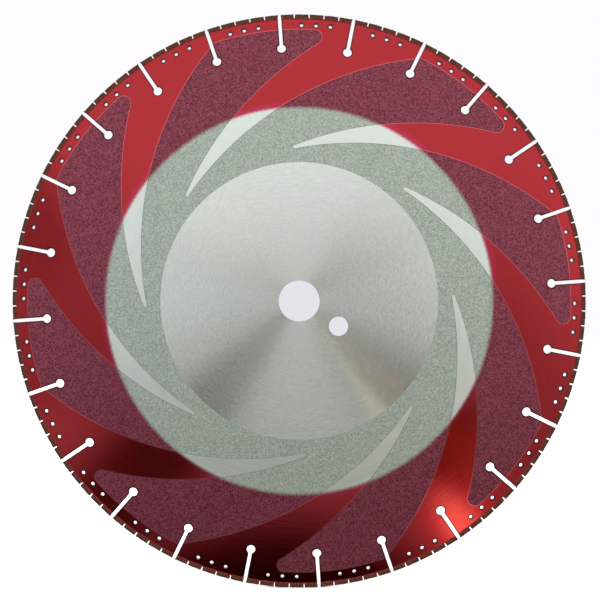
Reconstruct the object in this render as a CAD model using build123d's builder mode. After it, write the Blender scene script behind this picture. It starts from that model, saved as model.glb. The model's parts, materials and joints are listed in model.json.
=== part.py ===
from build123d import *
import os
from math import atan2, cos, degrees, hypot, radians, sin

# Dry-cutting diamond blade for a 14 in cut-off saw: a flat steel core, 24 diamond coats brazed
# round its rim, and a film of lacquer on each face. The disc stands in the XZ plane and spins
# about Y. The origin is the centre of the bore at mid thickness, and the front face looks along
# -Y. Angles are turned from +X towards +Z, as the front face is seen. Millimetres and degrees.

# Core and its mounting holes
BLADE_DIAMETER = 355.0
CORE_THICKNESS = 2.4
BORE_DIAMETER = 25.4
PIN_HOLE_DIAMETER = 12.0
PIN_CIRCLE_RADIUS = 29.0
PIN_HOLE_ANGLE = -32.8

# Keyhole slots that part the rim into sectors
SLOT_COUNT = 24
SLOT_START_ANGLE = 4.0
SLOT_WIDTH = 2.1
SLOT_DEPTH = 20.7
SLOT_END_DIAMETER = 5.4

# Teeth of one sector, the gullets between them, and the row of small holes behind them
TEETH_PER_SECTOR = 5
GULLET_DEPTH = 2.5
GULLET_MOUTH_WIDTH = 1.0
GULLET_ROOT_WIDTH = 0.6
RIM_HOLE_DIAMETER = 2.2
RIM_HOLE_DEPTH = 6.7
RIM_HOLES_PER_SECTOR = 3

# Diamond coats
GRIT_THICKNESS = 0.5
GRIT_BELOW_GULLETS = 0.6

# Polished centre, blasted fields and polished vanes
CENTRE_DIAMETER = 172.0
PLAIN_RING_WIDTH = 9.5
FIELD_RECESS = 0.05
FIELD_CORNER_RADIUS = 4.3
FIELD_HEEL_RADIUS = 1.0
VANE_COUNT = 8
VANE_TIP_DIAMETER = 190.6
VANE_TIP_WIDTH = 1.8
VANE_TIP_ANGLE = 92.2
VANE_LEADING_ROOT_ANGLE = 18.3
VANE_LEADING_RADIUS = 197.0
VANE_TRAILING_ROOT_ANGLE = 36.9
VANE_TRAILING_RADIUS = 207.0

# Lacquer
LACQUER_INNER_DIAMETER = 239.6
LACQUER_THICKNESS = 0.05

# Sizes that follow from the ones above
BLADE_RADIUS = BLADE_DIAMETER / 2
CORE_RADIUS = BLADE_RADIUS - GRIT_THICKNESS
RIM_THICKNESS = CORE_THICKNESS + 2 * GRIT_THICKNESS
SLOT_END_RADIUS = BLADE_RADIUS - SLOT_DEPTH
SECTOR_ANGLE = 360 / SLOT_COUNT
TOOTH_ANGLE = SECTOR_ANGLE / TEETH_PER_SECTOR
GULLET_ROOT_RADIUS = BLADE_RADIUS - GULLET_DEPTH
GRIT_INNER_RADIUS = GULLET_ROOT_RADIUS - GRIT_BELOW_GULLETS
RIM_HOLE_CIRCLE_RADIUS = BLADE_RADIUS - RIM_HOLE_DEPTH
FIELD_RADIUS = BLADE_RADIUS - PLAIN_RING_WIDTH
VANE_PITCH = 360 / VANE_COUNT
CUT_OVERRUN = 2 * GRIT_THICKNESS
SPIN_AXIS = Axis((0, 0, 0), (0, -1, 0))

os.makedirs("parts", exist_ok=True)


def polar(radius, angle):
    """Point at a radius and an angle in a face's own plane."""
    return (radius * cos(radians(angle)), radius * sin(radians(angle)))


def write(piece, name):
    """Label one finished piece and write it to its own file."""
    piece.label = name
    export_step(piece, f"parts/{name}.step")


# One gullet: a narrow wedge with a round root, opening outwards along X.
with BuildSketch() as gullet:
    with BuildLine():
        mouth_radius = BLADE_RADIUS + CUT_OVERRUN
        root_centre_radius = GULLET_ROOT_RADIUS + GULLET_ROOT_WIDTH / 2
        lower = Line((root_centre_radius, -GULLET_ROOT_WIDTH / 2), (mouth_radius, -GULLET_MOUTH_WIDTH / 2))
        Line(lower @ 1, (mouth_radius, GULLET_MOUTH_WIDTH / 2))
        upper = Line((mouth_radius, GULLET_MOUTH_WIDTH / 2), (root_centre_radius, GULLET_ROOT_WIDTH / 2))
        ThreePointArc(upper @ 1, (GULLET_ROOT_RADIUS, 0), lower @ 0)
    make_face()

# Every opening near the rim: keyhole slots, the gullets between them and the small round holes.
with BuildSketch() as rim_cuts:
    with PolarLocations(SLOT_END_RADIUS, SLOT_COUNT, start_angle=SLOT_START_ANGLE):
        Circle(SLOT_END_DIAMETER / 2)
        Rectangle(SLOT_DEPTH + CUT_OVERRUN, SLOT_WIDTH, align=(Align.MIN, Align.CENTER))
    for gap in range(1, TEETH_PER_SECTOR):
        with PolarLocations(0, SLOT_COUNT, start_angle=SLOT_START_ANGLE + gap * TOOTH_ANGLE):
            add(gullet.sketch)
    for hole in range(RIM_HOLES_PER_SECTOR):
        teeth_from_middle = hole - (RIM_HOLES_PER_SECTOR - 1) / 2
        hole_angle = SLOT_START_ANGLE + SECTOR_ANGLE / 2 + teeth_from_middle * TOOTH_ANGLE
        with PolarLocations(RIM_HOLE_CIRCLE_RADIUS, SLOT_COUNT, start_angle=hole_angle):
            Circle(RIM_HOLE_DIAMETER / 2)

# One polished vane between two arcs, from the plain ring at the rim in to its blunt tip.
with BuildSketch() as vane:
    tip_radius = VANE_TIP_DIAMETER / 2
    leading_root = polar(FIELD_RADIUS, VANE_LEADING_ROOT_ANGLE)
    trailing_root = polar(FIELD_RADIUS, VANE_TRAILING_ROOT_ANGLE)
    leading_tip = polar(tip_radius - VANE_TIP_WIDTH / 2, VANE_TIP_ANGLE)
    trailing_tip = polar(tip_radius + VANE_TIP_WIDTH / 2, VANE_TIP_ANGLE)
    with BuildLine():
        RadiusArc(leading_root, leading_tip, -VANE_LEADING_RADIUS)
        Line(leading_tip, trailing_tip)
        RadiusArc(trailing_tip, trailing_root, VANE_TRAILING_RADIUS)
        Polyline(
            trailing_root,
            polar(BLADE_RADIUS, VANE_TRAILING_ROOT_ANGLE),
            polar(BLADE_RADIUS, VANE_LEADING_ROOT_ANGLE),
            leading_root,
        )
    make_face()


def corner_side(corner):
    """Angle of a field corner within one vane's pitch."""
    return degrees(atan2(corner.Y, corner.X)) % VANE_PITCH


def at_field_edge(corner):
    """Whether a corner lies on the fields' outer circle."""
    return abs(hypot(corner.X, corner.Y) - FIELD_RADIUS) < 0.01


# The blasted fields: everything between the polished centre and the plain ring but the vanes.
with BuildSketch() as fields:
    Circle(FIELD_RADIUS)
    Circle(CENTRE_DIAMETER / 2, mode=Mode.SUBTRACT)
    with PolarLocations(0, VANE_COUNT):
        add(vane.sketch, mode=Mode.SUBTRACT)
    vane_middle = (VANE_LEADING_ROOT_ANGLE + VANE_TRAILING_ROOT_ANGLE) / 2
    corners = fields.vertices().filter_by(at_field_edge)
    fillet(corners.filter_by(lambda corner: corner_side(corner) > vane_middle), FIELD_CORNER_RADIUS)
    heels = fields.vertices().filter_by(at_field_edge)
    fillet(heels.filter_by(lambda corner: corner_side(corner) < vane_middle), FIELD_HEEL_RADIUS)

# Steel core: blanked disc with its bore, drive-pin hole and rim openings, fields blasted into
# both faces in line with each other.
with BuildPart() as core:
    with BuildSketch(Plane.XZ.offset(-CORE_THICKNESS / 2)):
        Circle(CORE_RADIUS)
        Circle(BORE_DIAMETER / 2, mode=Mode.SUBTRACT)
        with PolarLocations(PIN_CIRCLE_RADIUS, 1, start_angle=PIN_HOLE_ANGLE):
            Circle(PIN_HOLE_DIAMETER / 2, mode=Mode.SUBTRACT)
        add(rim_cuts.sketch, mode=Mode.SUBTRACT)
    extrude(amount=CORE_THICKNESS)
    for face_side in (1, -1):
        with BuildSketch(Plane.XZ.offset(face_side * CORE_THICKNESS / 2)):
            add(fields.sketch)
        extrude(amount=-face_side * FIELD_RECESS, mode=Mode.SUBTRACT)
write(core.part, "steel_core")

# Lacquer films: level on the outside, filling the shallow fields, from the inner circle of the
# spray mask out to the diamond coats.
for film_name, film_side in (("lacquer_film_front", 1), ("lacquer_film_rear", -1)):
    film_plane = Plane.XZ.offset(film_side * CORE_THICKNESS / 2)
    with BuildPart() as film:
        with BuildSketch(film_plane):
            Circle(GRIT_INNER_RADIUS)
            Circle(LACQUER_INNER_DIAMETER / 2, mode=Mode.SUBTRACT)
            add(rim_cuts.sketch, mode=Mode.SUBTRACT)
        extrude(amount=film_side * LACQUER_THICKNESS)
        with BuildSketch(film_plane):
            add(fields.sketch)
            Circle(LACQUER_INNER_DIAMETER / 2, mode=Mode.SUBTRACT)
            add(rim_cuts.sketch, mode=Mode.SUBTRACT)
        extrude(amount=-film_side * FIELD_RECESS)
    write(film.part, film_name)

# Diamond coat of one sector: wraps both faces and the edge of five teeth, and runs on below the
# gullets as one piece. The section stands on the slot that starts the sector.
section_x = Vector(cos(radians(SLOT_START_ANGLE)), 0, sin(radians(SLOT_START_ANGLE)))
section_normal = Vector(-sin(radians(SLOT_START_ANGLE)), 0, cos(radians(SLOT_START_ANGLE)))
with BuildPart() as coat:
    with BuildSketch(Plane(origin=(0, 0, 0), x_dir=section_x, z_dir=section_normal)):
        with Locations((GRIT_INNER_RADIUS, 0)):
            Rectangle(BLADE_RADIUS - GRIT_INNER_RADIUS, RIM_THICKNESS, align=(Align.MIN, Align.CENTER))
        section_corners = vertices().group_by(Axis.X)[-1]
        fillet(section_corners, GRIT_THICKNESS)
        with Locations((GRIT_INNER_RADIUS, 0)):
            Rectangle(
                CORE_RADIUS - GRIT_INNER_RADIUS,
                CORE_THICKNESS,
                align=(Align.MIN, Align.CENTER),
                mode=Mode.SUBTRACT,
            )
    revolve(axis=SPIN_AXIS, revolution_arc=SECTOR_ANGLE)
    with BuildSketch(Plane.XZ.offset(-RIM_THICKNESS / 2)):
        add(rim_cuts.sketch)
    extrude(amount=RIM_THICKNESS, mode=Mode.SUBTRACT)

for sector in range(SLOT_COUNT):
    turned_coat = coat.part.rotate(SPIN_AXIS, sector * SECTOR_ANGLE)
    write(turned_coat, f"diamond_coat_{sector + 1:02d}")
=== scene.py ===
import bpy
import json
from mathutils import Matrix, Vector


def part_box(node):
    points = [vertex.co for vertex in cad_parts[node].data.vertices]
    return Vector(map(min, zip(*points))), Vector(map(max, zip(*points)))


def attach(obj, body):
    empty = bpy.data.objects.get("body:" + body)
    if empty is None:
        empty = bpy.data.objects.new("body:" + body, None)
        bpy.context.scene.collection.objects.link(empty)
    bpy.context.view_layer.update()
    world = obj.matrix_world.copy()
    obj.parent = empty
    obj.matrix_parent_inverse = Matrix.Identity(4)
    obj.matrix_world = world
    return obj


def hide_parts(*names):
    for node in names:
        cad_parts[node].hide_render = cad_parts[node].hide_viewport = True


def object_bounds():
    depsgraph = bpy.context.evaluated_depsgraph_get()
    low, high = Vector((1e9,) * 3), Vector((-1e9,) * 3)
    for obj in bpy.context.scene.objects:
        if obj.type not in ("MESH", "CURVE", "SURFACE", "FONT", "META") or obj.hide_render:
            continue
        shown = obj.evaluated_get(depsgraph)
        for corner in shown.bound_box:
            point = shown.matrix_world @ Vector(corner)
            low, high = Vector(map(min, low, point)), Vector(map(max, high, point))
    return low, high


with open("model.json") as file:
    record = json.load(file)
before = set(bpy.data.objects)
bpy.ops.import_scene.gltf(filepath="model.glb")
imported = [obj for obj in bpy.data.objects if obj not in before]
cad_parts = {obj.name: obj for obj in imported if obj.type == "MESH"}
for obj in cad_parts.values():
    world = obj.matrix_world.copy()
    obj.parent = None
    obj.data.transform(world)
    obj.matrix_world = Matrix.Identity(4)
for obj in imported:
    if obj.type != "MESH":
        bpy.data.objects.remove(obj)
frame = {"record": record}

# Blender's own first objects go, and the CAD model's box is kept before any piece is made.
for left_over in ("Cube", "Light", "Camera"):
    if left_over in bpy.data.objects:
        bpy.data.objects.remove(bpy.data.objects[left_over])
cad_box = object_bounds()

import json
from math import acos, asin, atan2, cos, hypot, pi, radians, sin, sqrt

import bmesh
import numpy as np
from mathutils import Matrix, Vector
from mathutils.geometry import delaunay_2d_cdt

# ---------------------------------------------------------------------------------------------
# Steel core: one flat blank of hardened steel, laser cut with its bore, drive-pin hole, keyhole
# slots, gullets and the small holes behind the teeth. Its centre and eight vanes are polished, and
# the fields between them are masked and blasted matt. Outlines are in millimetres.
# ---------------------------------------------------------------------------------------------
MM = 0.001
mounts = {mount["name"]: mount for mount in frame["record"]["mounts"]}
core_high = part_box("steel_core")[1]
core_radius = core_high.x / MM
core_half = core_high.y / MM
blade_radius = cad_box[1].x / MM
rim_half = cad_box[1].y / MM
bore_radius = mounts["arbor_bore"]["dims"]["r_mm"]
pin_radius = mounts["drive_pin_hole"]["dims"]["r_mm"]
pin_place = mounts["drive_pin_hole"]["pos_m"]
pin_centre = (pin_place[0] / MM, pin_place[2] / MM)

slot_count = 24
slot_start = radians(4.0)
sector_turn = 2 * pi / slot_count
slot_width = 2.1
slot_end_radius = 2.7
slot_end_circle = blade_radius - 20.7
teeth_per_sector = 5
tooth_turn = sector_turn / teeth_per_sector
gullet_mouth = 0.98
gullet_root_width = 0.6
gullet_root_circle = blade_radius - 2.5 + gullet_root_width / 2
rim_hole_radius = 1.1
rim_hole_circle = blade_radius - 6.7
rim_holes_per_sector = 3
cut_band_width = 1.1


def polar(radius, turn):
    """Point on the front face, X to the right and Z up, at a radius and a turn."""
    return (radius * cos(turn), radius * sin(turn))


def circle(radius, steps, centre=(0.0, 0.0)):
    """Closed ring of points."""
    ring = [polar(radius, 2 * pi * step / steps) for step in range(steps)]
    return [(centre[0] + x, centre[1] + z) for x, z in ring]


def notch(turn, rim, mouth, inner_width, end_radius, end_circle, steps):
    """A cut into the rim: in along one flank, round its inner end, and out along the other."""
    mouth_u = sqrt(rim * rim - mouth * mouth / 4)
    swing = asin(min(1.0, inner_width / 2 / end_radius))
    points = [(mouth_u, -mouth / 2)]
    for step in range(steps + 1):
        at = -swing - (2 * pi - 2 * swing) * step / steps
        points.append((end_circle + end_radius * cos(at), end_radius * sin(at)))
    points.append((mouth_u, mouth / 2))
    return [(u * cos(turn) - v * sin(turn), u * sin(turn) + v * cos(turn)) for u, v in points]


def slot_cut(turn, rim, margin=0.0):
    """Keyhole slot, wider all round by a margin."""
    width = slot_width + 2 * margin
    return notch(turn, rim, width, width, slot_end_radius + margin, slot_end_circle, 28)


def gullet_cut(turn, rim, margin=0.0):
    """Narrow wedge between two teeth, wider all round by a margin."""
    width = gullet_root_width + 2 * margin
    return notch(turn, rim, gullet_mouth + 2 * margin, width, width / 2, gullet_root_circle, 8)


def tooth_edge(rim, turn, steps):
    """Points along the edge of the tooth that follows the cut at this turn."""
    return [polar(rim, turn + tooth_turn * (step + 1) / (steps + 1)) for step in range(steps)]


def blank_outline(rim, margin=0.0):
    """The whole outer outline, anticlockwise."""
    points = []
    for tooth in range(slot_count * teeth_per_sector):
        turn = slot_start + tooth * tooth_turn
        cut = slot_cut if tooth % teeth_per_sector == 0 else gullet_cut
        points += cut(turn, rim, margin)
        points += tooth_edge(rim, turn, 3)
    return points


rim_hole_centres = []
for sector in range(slot_count):
    for hole in range(rim_holes_per_sector):
        steps_off = hole - (rim_holes_per_sector - 1) / 2
        hole_turn = slot_start + (sector + 0.5) * sector_turn + steps_off * tooth_turn
        rim_hole_centres.append(polar(rim_hole_circle, hole_turn))

# Pattern of both faces: the polished centre, eight polished vanes that join a plain ring at the
# rim, and the blasted fields between them.
centre_radius = 86.0
field_radius = blade_radius - 9.5
field_corner = 4.3
field_heel = 1.0
vane_count = 8
vane_tip_inner = 94.4
vane_tip_outer = 96.2
vane_tip_turn = radians(92.2)
leading_root_turn = radians(18.3)
leading_radius = 197.0
trailing_root_turn = radians(36.9)
trailing_radius = 207.0
lacquer_inner_radius = 119.8
lacquer_overlap = 2.3
bead_width = 0.55
shade_width = 0.45


def arc_centre(start, end, radius):
    """Centre, on the blade's own side, of an arc between two points."""
    middle = Vector(((start[0] + end[0]) / 2, (start[1] + end[1]) / 2))
    chord = Vector((end[0] - start[0], end[1] - start[1]))
    across = Vector((-chord.y, chord.x)).normalized() * sqrt(radius**2 - chord.length_squared / 4)
    return min(middle + across, middle - across, key=lambda centre: centre.length)


def arc(centre, start, end, steps):
    """Points of the shorter arc from start to just before end."""
    first = atan2(start[1] - centre[1], start[0] - centre[0])
    last = atan2(end[1] - centre[1], end[0] - centre[0])
    swing = (last - first + pi) % (2 * pi) - pi
    radius = hypot(start[0] - centre[0], start[1] - centre[1])
    turns = [first + swing * step / steps for step in range(steps)]
    return [(centre[0] + radius * cos(turn), centre[1] + radius * sin(turn)) for turn in turns]


def corner_centre(edge_centre, reach, corner_radius, near_turn):
    """Centre of a rounded field corner between the fields' outer circle and a vane's edge."""
    along = field_radius - corner_radius
    away = edge_centre.length
    spread = acos((along**2 + away**2 - reach**2) / (2 * along * away))
    middle = atan2(edge_centre.y, edge_centre.x)
    sides = [middle + spread, middle - spread]
    return Vector(polar(along, min(sides, key=lambda turn: abs(sin((turn - near_turn) / 2)))))


def touch(centre, radius, towards):
    """Point of a circle that lies towards another point."""
    return tuple(centre + (towards - centre).normalized() * radius)


leading_tip = polar(vane_tip_inner, vane_tip_turn)
trailing_tip = polar(vane_tip_outer, vane_tip_turn)
leading_centre = arc_centre(polar(field_radius, leading_root_turn), leading_tip, leading_radius)
trailing_centre = arc_centre(trailing_tip, polar(field_radius, trailing_root_turn), trailing_radius)
heel = corner_centre(leading_centre, leading_radius - field_heel, field_heel, leading_root_turn)
nose = corner_centre(trailing_centre, trailing_radius + field_corner, field_corner, trailing_root_turn)
blade_centre = Vector((0.0, 0.0))
heel_outer = touch(blade_centre, field_radius, heel)
heel_inner = touch(leading_centre, leading_radius, heel)
nose_inner = touch(trailing_centre, trailing_radius, nose)
nose_outer = touch(blade_centre, field_radius, nose)
next_heel = tuple(Matrix.Rotation(2 * pi / vane_count, 2) @ Vector(heel_outer))
one_vane = (
    arc(heel, heel_outer, heel_inner, 5)
    + arc(leading_centre, heel_inner, leading_tip, 48)
    + [leading_tip]
    + arc(trailing_centre, trailing_tip, nose_inner, 44)
    + arc(nose, nose_inner, nose_outer, 10)
    + arc(blade_centre, nose_outer, next_heel, 18)
)
field_outline = []
for vane in range(vane_count):
    swing = Matrix.Rotation(2 * pi * vane / vane_count, 2)
    field_outline += [tuple(swing @ Vector(point)) for point in one_vane]


def grown(outline, distance):
    """A closed anticlockwise outline moved outwards by a distance."""
    points = np.array(outline)
    along = np.roll(points, -1, axis=0) - points
    along /= np.linalg.norm(along, axis=1)[:, None]
    out = np.stack([along[:, 1], -along[:, 0]], axis=1)
    both = out + np.roll(out, 1, axis=0)
    both /= np.maximum(np.linalg.norm(both, axis=1)[:, None], 1e-6)
    lean = np.maximum((both * out).sum(axis=1), 0.5)[:, None]
    return [tuple(point) for point in points + both / lean * distance]


# The faces are cut into zones along those outlines. Every outline is a closed loop, and each
# small triangle of the face knows which loops it lies in. Some loops only place more corners, so
# that the dark bands beside the cuts and the painted highlight and painted shade round the fields
# have their own width.
loops = {
    "blank": [blank_outline(core_radius)],
    "unscorched": [blank_outline(core_radius - cut_band_width, cut_band_width)],
    "hole": [circle(bore_radius, 96), circle(pin_radius, 56, pin_centre)]
    + [circle(rim_hole_radius, 22, centre) for centre in rim_hole_centres],
    "hole_scorch": [circle(rim_hole_radius + cut_band_width, 22, centre) for centre in rim_hole_centres],
    "centre": [circle(centre_radius, 240)],
    "film": [circle(lacquer_inner_radius - lacquer_overlap, 240)],
    "field": [field_outline],
    "bead": [grown(field_outline, bead_width)],
    "shade": [grown(field_outline, -shade_width)],
}
loop_points = []
loop_faces = []
loop_kinds = []
for kind, outlines in loops.items():
    for outline in outlines:
        first = len(loop_points)
        loop_points += [Vector(point) for point in outline]
        loop_faces.append(list(range(first, first + len(outline))))
        loop_kinds.append(kind)
cut_points, _, cut_faces, _, _, cut_owners = delaunay_2d_cdt(loop_points, [], loop_faces, 1, 1e-4)
face_points = np.array([tuple(point) for point in cut_points])
triangles = [tuple(triangle) for triangle in cut_faces]
triangle_kinds = [{loop_kinds[owner] for owner in owners} for owners in cut_owners]


def distance_to(outlines, points):
    """Distance from each point to the nearest of some closed outlines."""
    nearest = np.full(len(points), 1e9)
    for outline in outlines:
        starts = np.array(outline)
        along = np.roll(starts, -1, axis=0) - starts
        length = (along**2).sum(axis=1)
        for first in range(0, len(points), 2000):
            some = points[first : first + 2000, None, :] - starts[None]
            share = np.clip((some * along[None]).sum(axis=2) / length[None], 0, 1)
            gap = np.linalg.norm(some - share[..., None] * along[None], axis=2).min(axis=1)
            nearest[first : first + 2000] = np.minimum(nearest[first : first + 2000], gap)
    return nearest


# Two marks go onto the mesh: 1 along every cut, where the faces are drawn darker, and 1 along the
# line where polish and blasting meet, which carries a painted highlight and a painted shade.
cut_band = (distance_to(loops["blank"], face_points) < 0.01).astype(float)
for centre in rim_hole_centres:
    cut_band[np.hypot(*(face_points - centre).T) < rim_hole_radius + 0.01] = 1.0
vane_edge = (distance_to(loops["field"], face_points) < 0.01).astype(float)


def zone(wanted, unwanted=()):
    """Triangles of solid steel inside all the wanted loops and none of the unwanted ones."""
    chosen = []
    for triangle, kinds in zip(triangles, triangle_kinds):
        if "blank" in kinds and "hole" not in kinds:
            if kinds.issuperset(wanted) and not kinds.intersection(unwanted):
                chosen.append(triangle)
    return chosen


def slab(chosen, side, face, foot, bevel, face_slot, wall_slot):
    """Closed plate over some triangles: its face at one height, its foot at another, and a fine
    bevel round the face. Side 1 is the front and -1 the rear. Heights are from mid thickness."""
    used = sorted({corner for triangle in chosen for corner in triangle})
    place = {corner: index for index, corner in enumerate(used)}
    flat = face_points[used]
    edges = {}
    for a, b, c in chosen:
        for start, end in ((a, b), (b, c), (c, a)):
            if (end, start) in edges:
                del edges[(end, start)]
            else:
                edges[(start, end)] = True
    inward = np.zeros((len(used), 2))
    for start, end in edges:
        run = face_points[end] - face_points[start]
        left = np.array([-run[1], run[0]]) / max(np.linalg.norm(run), 1e-9)
        inward[place[start]] += left
        inward[place[end]] += left
    size = np.linalg.norm(inward, axis=1)[:, None]
    inward = np.where(size > 1e-6, inward / np.maximum(size, 1e-6), 0.0)
    count = len(used)
    verts = []
    for moved, height in ((bevel, face), (0.0, face - bevel), (0.0, foot)):
        at = flat + inward * moved
        depth = np.full(count, -side * height)
        verts.append(np.stack([at[:, 0], depth, at[:, 1]], axis=1))
    faces = []
    slots = []
    for a, b, c in chosen:
        top = (place[a], place[b], place[c])
        bottom = tuple(2 * count + corner for corner in reversed(top))
        faces += [top, bottom] if side > 0 else [top[::-1], bottom[::-1]]
        slots += [face_slot, face_slot]
    for start, end in edges:
        for level in (0, count):
            first, last = place[start] + level, place[end] + level
            wall = (last, first, first + count, last + count)
            faces.append(wall if side > 0 else wall[::-1])
            slots.append(wall_slot if level else face_slot)
    marks = np.stack([np.tile(cut_band[used], 3), np.tile(vane_edge[used], 3)], axis=1)
    return np.concatenate(verts) * MM, faces, slots, marks


def piece(name, plates, materials):
    """One mesh object from several closed plates, in the frame's own coordinates."""
    verts = np.concatenate([plate[0] for plate in plates])
    offsets = np.cumsum([0] + [len(plate[0]) for plate in plates])
    faces = []
    for plate, first in zip(plates, offsets):
        faces += [tuple(int(corner + first) for corner in face) for face in plate[1]]
    slots = [slot for plate in plates for slot in plate[2]]
    mesh = bpy.data.meshes.new(name)
    mesh.from_pydata(verts.tolist(), [], faces)
    marks = np.concatenate([plate[3] for plate in plates])
    for column, attribute in enumerate(("cut_band", "vane_edge")):
        layer = mesh.attributes.new(attribute, "FLOAT", "POINT")
        layer.data.foreach_set("value", marks[:, column].astype(np.float32))
    for material in materials:
        mesh.materials.append(material)
    mesh.polygons.foreach_set("material_index", slots)
    plate_mesh = bmesh.new()
    plate_mesh.from_mesh(mesh)
    loose = [vert for vert in plate_mesh.verts if not vert.link_faces]
    bmesh.ops.delete(plate_mesh, geom=loose, context="VERTS")
    plate_mesh.to_mesh(mesh)
    plate_mesh.free()
    mesh.polygons.foreach_set("use_smooth", [True] * len(mesh.polygons))
    mesh.set_sharp_from_angle(angle=radians(32))
    thing = bpy.data.objects.new(name, mesh)
    bpy.context.scene.collection.objects.link(thing)
    return thing


def wire(tree, kind, options=None, feeds=None):
    """Add a node, set its options, and feed its inputs with values or other nodes' outputs."""
    node = tree.nodes.new(kind)
    for option, value in (options or {}).items():
        setattr(node, option, value)
    for name, value in (feeds or {}).items():
        if isinstance(value, bpy.types.NodeSocket):
            tree.links.new(value, node.inputs[name])
        else:
            node.inputs[name].default_value = value
    return node


def maths(tree, operation, first, second=0.0, third=0.0):
    """One step of arithmetic."""
    feeds = {0: first, 1: second, 2: third}
    return wire(tree, "ShaderNodeMath", {"operation": operation}, feeds).outputs[0]


def soft_step(tree, value, low, high):
    """0 below one value and 1 above the other, with a smooth rise between."""
    options = {"interpolation_type": "SMOOTHSTEP"}
    feeds = {"Value": value, "From Min": low, "From Max": high}
    return wire(tree, "ShaderNodeMapRange", options, feeds).outputs[0]


def blend(tree, share, first, second):
    """Mix of two colours."""
    node = wire(tree, "ShaderNodeMix", {"data_type": "RGBA"}, {0: share, 6: first, 7: second})
    return node.outputs[2]


def effect(name, inputs, output):
    """Empty shader node group with named number inputs and one number output."""
    group = bpy.data.node_groups.new(name, "ShaderNodeTree")
    for label, value in inputs.items():
        socket = group.interface.new_socket(label, in_out="INPUT", socket_type="NodeSocketFloat")
        socket.default_value = value
    group.interface.new_socket(output, in_out="OUTPUT", socket_type="NodeSocketFloat")
    start = group.nodes.new("NodeGroupInput")
    end = group.nodes.new("NodeGroupOutput")
    return group, start.outputs, end.inputs


def place_effect(tree, group, feeds):
    """Put an effect into a material with its own values."""
    return wire(tree, "ShaderNodeGroup", {"node_tree": group}, feeds).outputs[0]


def disc_radius(tree):
    """Place across the disc, and distance from the spin axis, in metres."""
    spot = wire(tree, "ShaderNodeTexCoord").outputs["Object"]
    flat = wire(tree, "ShaderNodeVectorMath", {"operation": "MULTIPLY"}, {0: spot, 1: (1, 0, 1)})
    reach = wire(tree, "ShaderNodeVectorMath", {"operation": "LENGTH"}, {0: flat.outputs[0]})
    return flat.outputs[0], reach.outputs["Value"]


# Streaks that run round the disc, as a brush or a grinding wheel leaves them.
brushing = {"Grooves per metre": 1500.0, "Arcs": 5.0, "Detail": 3.0, "Seed": 0.0}
round_brushing, brush_in, brush_out = effect("round_brushing", brushing, "Streak")
flat, radius = disc_radius(round_brushing)
heading = wire(round_brushing, "ShaderNodeVectorMath", {"operation": "NORMALIZE"}, {0: flat}).outputs[0]
arcs = {0: heading, "Scale": brush_in["Arcs"]}
along = wire(round_brushing, "ShaderNodeVectorMath", {"operation": "SCALE"}, arcs).outputs[0]
across = maths(round_brushing, "MULTIPLY_ADD", radius, brush_in["Grooves per metre"], brush_in["Seed"])
stack = wire(round_brushing, "ShaderNodeCombineXYZ", None, {"Y": across}).outputs[0]
spot = wire(round_brushing, "ShaderNodeVectorMath", {"operation": "ADD"}, {0: along, 1: stack}).outputs[0]
grooves = {"Vector": spot, "Scale": 1.0, "Detail": brush_in["Detail"]}
noise = wire(round_brushing, "ShaderNodeTexNoise", None, grooves)
round_brushing.links.new(noise.outputs[0], brush_out[0])

# Fine pits of blasted steel, with coarser patches where the blast was uneven.
blasting = {"Grains per metre": 1600.0, "Patches": 0.35}
blast_grain, blast_in, blast_out = effect("blast_grain", blasting, "Grain")
spot = wire(blast_grain, "ShaderNodeTexCoord").outputs["Object"]
pits = {"Vector": spot, "Scale": blast_in["Grains per metre"], "Detail": 1.0}
fine = wire(blast_grain, "ShaderNodeTexNoise", None, pits).outputs[0]
patches = {"Vector": spot, "Scale": 260.0, "Detail": 3.0}
coarse = wire(blast_grain, "ShaderNodeTexNoise", None, patches).outputs[0]
both = {0: blast_in["Patches"], 2: fine, 3: coarse}
grain = wire(blast_grain, "ShaderNodeMix", {"data_type": "FLOAT"}, both)
blast_grain.links.new(grain.outputs[0], blast_out[0])

# Where the lacquer lies: nothing inside the mask's circle, a misty edge, and a full coat beyond.
masking = {"Inner radius": 0.1198, "Mist": 0.0012}
lacquer_reach, reach_in, reach_out = effect("lacquer_reach", masking, "Cover")
flat, radius = disc_radius(lacquer_reach)
mist = wire(lacquer_reach, "ShaderNodeTexNoise", None, {"Vector": flat, "Scale": 900.0, "Detail": 2.0})
wander = maths(lacquer_reach, "MULTIPLY_ADD", mist.outputs[0], reach_in["Mist"], radius)
low = maths(lacquer_reach, "MULTIPLY_ADD", reach_in["Mist"], -0.5, reach_in["Inner radius"])
high = maths(lacquer_reach, "MULTIPLY_ADD", reach_in["Mist"], 1.5, reach_in["Inner radius"])
lacquer_reach.links.new(soft_step(lacquer_reach, wander, low, high), reach_out[0])


def finish_of(name, metallic=1.0, coat_roughness=0.05, anisotropy=0.0):
    """A material with its own Principled shader."""
    material = bpy.data.materials.new(name)
    material.use_nodes = True
    shader = material.node_tree.nodes["Principled BSDF"]
    shader.inputs["Metallic"].default_value = metallic
    shader.inputs["Coat Roughness"].default_value = coat_roughness
    shader.inputs["Anisotropic"].default_value = anisotropy
    return material, material.node_tree, shader


def mark(tree, attribute):
    """A mark stored on the mesh, from 0 to 1."""
    return wire(tree, "ShaderNodeAttribute", {"attribute_name": attribute}).outputs["Fac"]


def dent(tree, shader, height, depth):
    """Relief of a real depth in metres."""
    bump = wire(tree, "ShaderNodeBump", None, {"Height": height, "Distance": depth, "Strength": 1.0})
    tree.links.new(bump.outputs[0], shader.inputs["Normal"])
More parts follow.
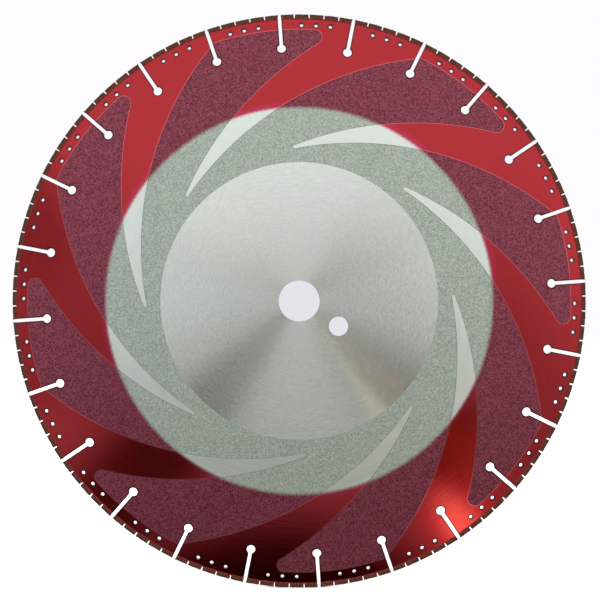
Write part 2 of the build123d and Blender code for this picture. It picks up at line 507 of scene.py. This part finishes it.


# Polished centre: fine and broad streaks of round brushing, with painted shade that makes it a touch
# darker towards the bore.
centre_low = (0.73, 0.77, 0.74, 1)
centre_high = (0.85, 0.895, 0.865, 1)
polished_centre, tree, shader = finish_of("polished_centre", anisotropy=1.0)
fine_brush = {"Grooves per metre": 2600.0, "Arcs": 30.0, "Detail": 3.0}
broad_brush = {"Grooves per metre": 1300.0, "Arcs": 16.0, "Detail": 4.0, "Seed": 7.0}
fine_streak = place_effect(tree, round_brushing, fine_brush)
broad_streak = place_effect(tree, round_brushing, broad_brush)
half_broad = maths(tree, "MULTIPLY", broad_streak, 0.5)
both_streaks = maths(tree, "MULTIPLY_ADD", fine_streak, 0.5, half_broad)
tone = blend(tree, soft_step(tree, both_streaks, 0.3, 0.7), centre_low, centre_high)
flat, radius = disc_radius(tree)
# Painted shade: the colour is a touch darker towards the bore, standing in for a darker reflection there.
bore_painted_shade = maths(tree, "MULTIPLY_ADD", soft_step(tree, radius, 0.022, 0.075), 0.04, 0.95)
tone = wire(tree, "ShaderNodeVectorMath", {"operation": "SCALE"}, {0: tone, "Scale": bore_painted_shade}).outputs[0]
tree.links.new(tone, shader.inputs["Base Color"])
polish = maths(tree, "MULTIPLY_ADD", fine_streak, 0.07, 0.125)
tree.links.new(polish, shader.inputs["Roughness"])
tangent = wire(tree, "ShaderNodeTangent", {"direction_type": "RADIAL", "axis": "Y"})
tree.links.new(tangent.outputs[0], shader.inputs["Tangent"])
shader.inputs["Anisotropic Rotation"].default_value = 0.25
dent(tree, shader, fine_streak, 0.000004)

# Polished vanes and plain ring: bare steel inside, and outside the mask's circle the same steel
# under transparent red, pink at the misty edge, with a lacquer bead along the fields that carries a
# painted highlight.
bare_low = (0.70, 0.755, 0.72, 1)
bare_high = (0.86, 0.915, 0.88, 1)
pink_mist = (0.52, 0.03, 0.12, 1)
red_low = (0.38, 0.010, 0.018, 1)
red_high = (0.44, 0.014, 0.024, 1)
bead_highlight = (0.74, 0.17, 0.21, 1)
cut_band_red = (0.085, 0.008, 0.020, 1)
vane_finish, tree, shader = finish_of("vane_finish", coat_roughness=0.06)
cover = place_effect(tree, lacquer_reach, {"Inner radius": 0.1198, "Mist": 0.0013})
deep = place_effect(tree, lacquer_reach, {"Inner radius": 0.1212, "Mist": 0.004})
vane_brush = {"Grooves per metre": 900.0, "Arcs": 9.0, "Detail": 3.0, "Seed": 3.0}
streak = place_effect(tree, round_brushing, vane_brush)
bare = blend(tree, streak, bare_low, bare_high)
red = blend(tree, streak, red_low, red_high)
lacquer = blend(tree, deep, pink_mist, red)
# Painted highlight: a lighter line along the step where the vanes meet the fields.
edge = maths(tree, "MULTIPLY", mark(tree, "vane_edge"), 0.9)
lacquer = blend(tree, edge, lacquer, bead_highlight)
# A dark band is drawn along every cut, darkest at the cut itself.
cut_darkening = maths(tree, "MULTIPLY", soft_step(tree, mark(tree, "cut_band"), 0.10, 0.55), 0.92)
colour = blend(tree, cover, bare, lacquer)
colour = blend(tree, cut_darkening, colour, cut_band_red)
tree.links.new(colour, shader.inputs["Base Color"])
rough = maths(tree, "MULTIPLY_ADD", cover, -0.20, 0.27)
rough = maths(tree, "MULTIPLY_ADD", streak, 0.07, rough)
tree.links.new(rough, shader.inputs["Roughness"])
weight = maths(tree, "MULTIPLY", cover, 0.55)
tree.links.new(weight, shader.inputs["Coat Weight"])
dent(tree, shader, streak, 0.00001)

# Blasted fields: matt grey grains, bare inside and maroon under the lacquer outside, with painted shade
# along their edge.
grey_low = (0.33, 0.37, 0.33, 1)
grey_high = (0.56, 0.62, 0.56, 1)
maroon_low = (0.135, 0.018, 0.038, 1)
maroon_high = (0.335, 0.084, 0.122, 1)
field_edge_shade = (0.10, 0.02, 0.03, 1)
cut_band_maroon = (0.065, 0.008, 0.018, 1)
field_finish, tree, shader = finish_of("field_finish", coat_roughness=0.25)
cover = place_effect(tree, lacquer_reach, {"Inner radius": 0.1198, "Mist": 0.0016})
grain = place_effect(tree, blast_grain, {"Grains per metre": 1400.0, "Patches": 0.12})
level = soft_step(tree, grain, 0.29, 0.71)
bare = blend(tree, level, grey_low, grey_high)
maroon = blend(tree, level, maroon_low, maroon_high)
colour = blend(tree, cover, bare, maroon)
# Painted shade: a dark line along the fields' edge, at the foot of the step up to the vanes.
edge = maths(tree, "MULTIPLY", mark(tree, "vane_edge"), 0.6)
colour = blend(tree, edge, colour, field_edge_shade)
# A dark band is drawn along every cut, darkest at the cut itself.
cut_darkening = maths(tree, "MULTIPLY", soft_step(tree, mark(tree, "cut_band"), 0.10, 0.55), 0.92)
colour = blend(tree, cut_darkening, colour, cut_band_maroon)
tree.links.new(colour, shader.inputs["Base Color"])
rough = maths(tree, "MULTIPLY_ADD", cover, -0.06, 0.46)
tree.links.new(rough, shader.inputs["Roughness"])
weight = maths(tree, "MULTIPLY", cover, 0.15)
tree.links.new(weight, shader.inputs["Coat Weight"])
dent(tree, shader, grain, 0.00009)

# Laser-cut and ground walls of the blank: grey at the bore, burnt brown towards the rim.
ground_steel = (0.45, 0.46, 0.45, 1)
burnt_steel = (0.022, 0.009, 0.010, 1)
burnt_ripple = (0.030, 0.014, 0.014, 1)
cut_wall, tree, shader = finish_of("cut_wall")
flat, radius = disc_radius(tree)
outer = soft_step(tree, radius, 0.10, 0.15)
ripple = place_effect(tree, blast_grain, {"Grains per metre": 900.0, "Patches": 0.2})
colour = blend(tree, outer, ground_steel, burnt_steel)
colour = blend(tree, ripple, colour, burnt_ripple)
tree.links.new(colour, shader.inputs["Base Color"])
bright = maths(tree, "SUBTRACT", 1.0, outer)
tree.links.new(bright, shader.inputs["Metallic"])
shader.inputs["Roughness"].default_value = 0.42
dent(tree, shader, ripple, 0.00004)

# The blank's walls stand to the floor of the blasted fields. The polished centre and vanes stand a
# few hundredths proud of it on both faces.
field_recess = 0.05
pad_root = 0.1
fine_bevel = 0.03
field_level = core_half - field_recess
pad_foot = field_level - pad_root
centre_zone = zone(("centre",))
vane_zone = zone((), ("centre", "field"))
core_plates = [slab(zone(()), 1, field_level, -field_level, fine_bevel, 2, 3)]
for side in (1, -1):
    core_plates.append(slab(centre_zone, side, core_half, pad_foot, fine_bevel, 0, 3))
    core_plates.append(slab(vane_zone, side, core_half, pad_foot, fine_bevel, 1, 3))
steel_materials = [polished_centre, vane_finish, field_finish, cut_wall]
core = piece("core_blank", core_plates, steel_materials)
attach(core, "root")
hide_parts("steel_core")

# ---------------------------------------------------------------------------------------------
# Lacquer films: transparent red, sprayed on each face over the blasted fields and the polished
# vanes alike, from the mask's circle out to the diamond coats.
# ---------------------------------------------------------------------------------------------
film_thickness = 0.03
film_root = 0.01
over_vanes = zone((), ("film", "field"))
over_fields = zone(("field",), ("film",))
for side, name, node in (
    (1, "red_film_front", "lacquer_film_front"),
    (-1, "red_film_rear", "lacquer_film_rear"),
):
    film_plates = [
        slab(over_vanes, side, core_half + film_thickness, core_half - film_root, fine_bevel, 0, 0),
        slab(over_fields, side, field_level + film_thickness, field_level - film_root, fine_bevel, 1, 1),
    ]
    film = piece(name, film_plates, [vane_finish, field_finish])
    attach(film, "root")
    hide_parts(node)

# ---------------------------------------------------------------------------------------------
# Diamond coats: synthetic diamond crystals brazed in one layer round the teeth of each sector,
# over both faces and the edge, with a ragged inner border and a mist of red overspray on it.
# ---------------------------------------------------------------------------------------------
coat_inner_radius = blade_radius - 3.1
coat_sink = 0.14
coat_shoulder = 0.34
border_points = 46
border_ragged = (-0.2, 0.22)
outline_spacing = 0.7
braze_spacing = 0.55
braze_swell = 0.09
edge_swell = 0.07
edge_inset = 0.26
crystals_per_coat = 430
crystal_sizes = (0.11, 0.23)
crystal_stretch = (0.75, 1.25)
crystal_stand = (-0.1, 0.35)
crystal_tints = (0.15, 1.0)


def dense(outline, spacing):
    """The same closed outline with points at an even spacing along its sides."""
    points = []
    for start, end in zip(outline, outline[1:] + outline[:1]):
        pieces = max(1, round(hypot(end[0] - start[0], end[1] - start[1]) / spacing))
        for step in range(pieces):
            share = step / pieces
            x = start[0] + (end[0] - start[0]) * share
            z = start[1] + (end[1] - start[1]) * share
            points.append((x, z))
    return points


def coat_outline(sector, chance):
    """Comb-shaped outline of one sector's coat, with a ragged inner border."""
    rim = blade_radius - coat_sink
    first = slot_start + sector * sector_turn
    last = first + sector_turn
    half_slot = slot_width / 2
    inner_swing = asin(half_slot / coat_inner_radius)
    points = [polar(coat_inner_radius, first + inner_swing), polar(rim, first + asin(half_slot / rim))]
    for tooth in range(teeth_per_sector):
        turn = first + tooth * tooth_turn
        if tooth:
            points += gullet_cut(turn, rim)
        points += tooth_edge(rim, turn, 9)
    points += [polar(rim, last - asin(half_slot / rim)), polar(coat_inner_radius, last - inner_swing)]
    for step in range(1, border_points):
        turn = last - inner_swing - (sector_turn - 2 * inner_swing) * step / border_points
        points.append(polar(coat_inner_radius + chance.uniform(*border_ragged), turn))
    return dense(points, outline_spacing)


def coat_shell(sector, chance):
    """Rough closed shell of one coat: points and triangles, in millimetres."""
    outline = coat_outline(sector, chance)
    count = len(outline)
    first = slot_start + sector * sector_turn

    # Points scattered over the face, so that the braze lies unevenly on it.
    loose = []
    for ring in np.arange(coat_inner_radius + 0.35, blade_radius - 0.5, braze_spacing):
        for turn in np.arange(first, first + sector_turn, 0.6 / ring):
            moved_ring = ring + chance.uniform(-0.15, 0.15)
            loose.append(polar(moved_ring, turn + chance.uniform(-0.2, 0.2) / ring))
    loose = np.array(loose)
    inside = distance_to([outline], loose) > 0.3
    loose = [tuple(point) for point in loose[inside]]
    corners = [Vector(point) for point in outline + loose]
    points, _, faces, origins, _, _ = delaunay_2d_cdt(corners, [], [list(range(count))], 1, 1e-4)
    index = {}
    for new, old in enumerate(origins):
        for each in old:
            index[each] = new
    flat = np.array([tuple(point) for point in points])
    ring = [index[each] for each in range(count)]
    total = len(flat)

    # Front and rear faces, drawn in a little at their border.
    border = np.array(outline)
    flat[ring] += np.array(grown(outline, -edge_inset)) - border
    verts = []
    for side in (1, -1):
        height = rim_half - coat_sink + chance.uniform(-braze_swell, braze_swell, total)
        verts += np.stack([flat[:, 0], -side * height, flat[:, 1]], axis=1).tolist()
    shell_faces = []
    for a, b, c in faces:
        shell_faces += [(a, b, c), (total + c, total + b, total + a)]

    # The edge between them, rounded and just as uneven.
    out = border - np.array(grown(outline, -1.0))
    levels = [rim_half - coat_shoulder, 0.6, 0.0, -0.6, coat_shoulder - rim_half]
    rings = [ring]
    for level in levels:
        moved = border + out * chance.uniform(-edge_swell, edge_swell, count)[:, None]
        start = len(verts)
        verts += np.stack([moved[:, 0], -np.full(count, level), moved[:, 1]], axis=1).tolist()
        rings.append(list(range(start, start + count)))
    rings.append([total + each for each in ring])
    for upper, lower in zip(rings, rings[1:]):
        for step in range(count):
            following = (step + 1) % count
            a, b, c, d = upper[step], upper[following], lower[following], lower[step]
            shell_faces += [(b, a, d), (b, d, c)]
    return np.array(verts), np.array(shell_faces)


def crystals(verts, faces, chance):
    """Blocky diamond crystals set half into the outer triangles of a shell."""
    a, b, c = (verts[faces[:, corner]] for corner in range(3))
    normal = np.cross(b - a, c - a)
    area = np.linalg.norm(normal, axis=1)
    middle = (a + b + c) / 3
    radius = np.hypot(middle[:, 0], middle[:, 2])
    open_side = (np.abs(normal[:, 1]) > 0.5 * area) | (radius > blade_radius - 0.6)
    open_side &= radius > coat_inner_radius + 0.25
    odds = np.where(open_side, area, 0.0)
    picks = chance.choice(len(faces), crystals_per_coat, p=odds / odds.sum())
    u, v = chance.uniform(0, 1, (2, crystals_per_coat))
    flip = u + v > 1
    u, v = np.where(flip, 1 - u, u), np.where(flip, 1 - v, v)
    at = a[picks] + (b - a)[picks] * u[:, None] + (c - a)[picks] * v[:, None]
    facing = normal[picks] / np.maximum(area[picks], 1e-9)[:, None]
    points = []
    sides = []
    tints = []
    octahedron = np.array([(1, 0, 0), (-1, 0, 0), (0, 1, 0), (0, -1, 0), (0, 0, 1), (0, 0, -1)], float)
    octants = [(0, 2, 4), (2, 1, 4), (1, 3, 4), (3, 0, 4), (2, 0, 5), (1, 2, 5), (3, 1, 5), (0, 3, 5)]
    for place, out in zip(at, facing):
        size = chance.uniform(*crystal_sizes)
        spin = np.linalg.qr(chance.normal(size=(3, 3)))[0]
        spin[:, 0] *= np.sign(np.linalg.det(spin))
        shape = octahedron * chance.uniform(*crystal_stretch, (6, 1)) * size
        start = len(points)
        points += (shape @ spin.T + place + out * size * chance.uniform(*crystal_stand)).tolist()
        sides += [tuple(start + corner for corner in side) for side in octants]
        tints += [chance.uniform(*crystal_tints)] * len(octahedron)
    return np.array(points), np.array(sides), np.array(tints)


# Brown-black nickel braze with honey and olive crystals in it.
braze_low = (0.030, 0.010, 0.006, 1)
braze_high = (0.10, 0.036, 0.020, 1)
crystal_dark = (0.035, 0.015, 0.008, 1)
crystal_honey = (0.34, 0.20, 0.07, 1)
overspray = (0.22, 0.012, 0.016, 1)
grit_finish, tree, shader = finish_of("grit_finish", metallic=0.65)
flat, radius = disc_radius(tree)
spot = wire(tree, "ShaderNodeTexCoord").outputs["Object"]
specks = {"Vector": spot, "Scale": 1900.0, "Detail": 3.0}
speck = wire(tree, "ShaderNodeTexNoise", None, specks).outputs[0]
braze = blend(tree, soft_step(tree, speck, 0.35, 0.7), braze_low, braze_high)
tint = mark(tree, "crystal")
gem = blend(tree, tint, crystal_dark, crystal_honey)
colour = blend(tree, soft_step(tree, tint, 0.0, 0.12), braze, gem)
spray = soft_step(tree, maths(tree, "MULTIPLY_ADD", speck, 0.0016, radius), 0.1770, 0.1744)
spray = maths(tree, "MULTIPLY", spray, 0.8)
colour = blend(tree, spray, colour, overspray)
tree.links.new(colour, shader.inputs["Base Color"])
rough = maths(tree, "MULTIPLY_ADD", tint, -0.25, 0.55)
tree.links.new(rough, shader.inputs["Roughness"])
dent(tree, shader, speck, 0.00008)

for sector in range(slot_count):
    chance = np.random.default_rng(4100 + sector)
    shell_verts, shell_faces = coat_shell(sector, chance)
    gem_verts, gem_faces, gem_tints = crystals(shell_verts, shell_faces, chance)
    name = f"grit_coat_{sector + 1:02d}"
    mesh = bpy.data.meshes.new(name)
    all_verts = np.concatenate([shell_verts, gem_verts]) * MM
    all_faces = np.concatenate([shell_faces, gem_faces + len(shell_verts)])
    mesh.from_pydata(all_verts.tolist(), [], all_faces.tolist())
    layer = mesh.attributes.new("crystal", "FLOAT", "POINT")
    all_tints = np.concatenate([np.zeros(len(shell_verts)), gem_tints])
    layer.data.foreach_set("value", all_tints.astype(np.float32))
    mesh.materials.append(grit_finish)
    coat = bpy.data.objects.new(name, mesh)
    bpy.context.scene.collection.objects.link(coat)
    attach(coat, "root")
    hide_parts(f"diamond_coat_{sector + 1:02d}")

# ---------------------------------------------------------------------------------------------
# Studio: the blade stands on a plain pale floor before a pale sweep, under soft light. The
# polished steel mirrors bright cards above and at both sides, and dark flags below.
# ---------------------------------------------------------------------------------------------
floor_half = 4.0
floor_level = cad_box[0].z
floor_mesh = bpy.data.meshes.new("pale_floor")
corners = [(-1, -1), (1, -1), (1, 1), (-1, 1)]
floor_points = [(x * floor_half, y * floor_half, floor_level) for x, y in corners]
floor_mesh.from_pydata(floor_points, [], [(0, 1, 2, 3)])
floor = bpy.data.objects.new("pale_floor", floor_mesh)
bpy.context.scene.collection.objects.link(floor)
paper, tree, shader = finish_of("paper", metallic=0.0)
shader.inputs["Base Color"].default_value = (0.93, 0.92, 0.94, 1)
shader.inputs["Roughness"].default_value = 0.9
shader.inputs["Specular IOR Level"].default_value = 0.1
floor_mesh.materials.append(paper)
floor.visible_glossy = False

for name, spot, size, power in (
    ("top_box", (0.0, -0.5, 1.6), 1.4, 34.0),
    ("left_box", (-1.3, -1.2, 0.7), 1.0, 14.0),
    ("right_box", (1.3, -1.2, 0.6), 1.0, 10.0),
    ("back_box", (0.0, 1.4, 1.0), 1.2, 16.0),
):
    lamp = bpy.data.lights.new(name, "AREA")
    lamp.size = size
    lamp.energy = power
    box = bpy.data.objects.new(name, lamp)
    box.location = spot
    box.rotation_euler = (-Vector(spot)).to_track_quat("-Z", "Y").to_euler()
    box.visible_glossy = False
    bpy.context.scene.collection.objects.link(box)

# What the polished steel mirrors. A row gives a card's or flag's middle on the half sphere before
# the blade, its half sizes, its turn in degrees and the softness of its edge. A card then adds its
# light, and a flag hides a share of what is behind it with its own dark colour.
room_light = (0.50, 0.505, 0.48)
diffuse_light = (1.1, 1.09, 1.11, 1)
sweep_edge = (0.98, 0.965, 0.99, 1)
sweep_painted_shadow = (0.76, 0.785, 0.83, 1)
bright_cards = (
    ((0.00, 0.62), (1.20, 0.68), 0, 0.30, (0.55, 0.56, 0.55)),
    ((0.58, 0.02), (0.40, 0.26), 0, 0.60, (1.08, 1.06, 1.05)),
    ((-0.58, 0.01), (0.34, 0.28), 0, 0.60, (0.95, 1.04, 1.12)),
    ((-0.245, -0.130), (0.050, 0.035), 30, 0.80, (0.22, 0.22, 0.20)),
    ((0.48, 0.44), (0.30, 0.16), 42, 0.80, (0.62, 0.62, 0.61)),
    ((-0.46, 0.48), (0.30, 0.14), -46, 0.80, (0.48, 0.55, 0.61)),
    ((0.00, -0.66), (0.34, 0.24), 0, 0.50, (0.19, 0.20, 0.14)),
)
dark_flags = (
    ((0.07, 0.01), (0.10, 0.085), 0, 0.70, 0.90, (0.07, 0.06, 0.04)),
    ((-0.27, 0.075), (0.08, 0.10), 0, 0.80, 0.55, (0.07, 0.06, 0.04)),
    ((-0.15, -0.165), (0.22, 0.062), 48, 0.50, 0.96, (0.06, 0.05, 0.03)),
    ((-0.44, -0.49), (0.38, 0.195), 48, 0.40, 1.00, (0.06, 0.05, 0.02)),
    ((0.101, -0.099), (0.15, 0.064), -44, 0.50, 1.00, (0.05, 0.04, 0.02)),
    ((0.46, -0.42), (0.37, 0.200), -43, 0.40, 1.00, (0.05, 0.04, 0.02)),
    ((-0.02, -0.32), (0.23, 0.13), 0, 0.45, 1.00, (0.008, 0.008, 0.006)),
)
warm_cards = (
    ((0.162, -0.226), (0.052, 0.024), -54, 0.75, (3.9, 2.9, 1.7)),
    ((0.160, -0.146), (0.100, 0.030), -43, 0.80, (0.40, 0.18, 0.04)),
)
sweep_shade = ((0.0, 0.0), (0.12, 0.12), 0, 0.45)


def spread_of(tree, heading, middle, half_sizes, turn, softness):
    """How much of one card or flag lies in each direction, from 0 to 1."""
    feeds = {
        "Vector": heading,
        "Location": (middle[0], 0, middle[1]),
        "Rotation": (0, -radians(turn), 0),
        "Scale": (half_sizes[0], 1, half_sizes[1]),
    }
    local = wire(tree, "ShaderNodeMapping", {"vector_type": "TEXTURE"}, feeds).outputs[0]
    gap = wire(tree, "ShaderNodeVectorMath", {"operation": "LENGTH"}, {0: local}).outputs["Value"]
    return soft_step(tree, gap, 1.0, 1.0 - softness)


def lit_by(tree, light, spread, glow):
    """The room's light with one card's light added."""
    card_glow = {0: glow, "Scale": spread}
    card = wire(tree, "ShaderNodeVectorMath", {"operation": "SCALE"}, card_glow).outputs[0]
    return wire(tree, "ShaderNodeVectorMath", {"operation": "ADD"}, {0: light, 1: card}).outputs[0]


world = bpy.data.worlds.new("studio")
bpy.context.scene.world = world
world.use_nodes = True
tree = world.node_tree
heading = wire(tree, "ShaderNodeTexCoord").outputs["Generated"]
flatten = {0: heading, 1: (1, 0, 1)}
face_on = wire(tree, "ShaderNodeVectorMath", {"operation": "MULTIPLY"}, flatten).outputs[0]
light = wire(tree, "ShaderNodeCombineXYZ", None, dict(zip("XYZ", room_light))).outputs[0]
for *place, glow in bright_cards:
    light = lit_by(tree, light, spread_of(tree, face_on, *place), glow)
for *place, share, dark in dark_flags:
    hidden = maths(tree, "MULTIPLY", spread_of(tree, face_on, *place), share)
    light = blend(tree, hidden, light, (*dark, 1))
for *place, glow in warm_cards:
    light = lit_by(tree, light, spread_of(tree, face_on, *place), glow)
# Painted shadow: the sweep the camera sees straight behind the blade is darker, as if the blade shaded
# it.
blade_shadow_spread = spread_of(tree, face_on, *sweep_shade)
sweep = blend(tree, blade_shadow_spread, sweep_edge, sweep_painted_shadow)
path = wire(tree, "ShaderNodeLightPath")
soft_light = blend(tree, path.outputs["Is Diffuse Ray"], light, diffuse_light)
shown = blend(tree, path.outputs["Is Camera Ray"], soft_light, sweep)
backdrop = tree.nodes["Background"]
tree.links.new(shown, backdrop.inputs["Color"])
backdrop.inputs["Strength"].default_value = 1.0
bpy.context.scene.view_settings.view_transform = "Standard"

# The camera stands square on before the front face, a hair off the blade's centre.
camera_distance = 0.60
camera_right = 0.0005
camera_up = 0.0006
frame_width = 0.3722
camera_data = bpy.data.cameras.new("view")
camera_data.lens = camera_data.sensor_width * camera_distance / frame_width
camera = bpy.data.objects.new("view", camera_data)
camera.location = (camera_right, -camera_distance, camera_up)
camera.rotation_euler = (pi / 2, 0.0, 0.0)
bpy.context.scene.collection.objects.link(camera)
bpy.context.scene.camera = camera
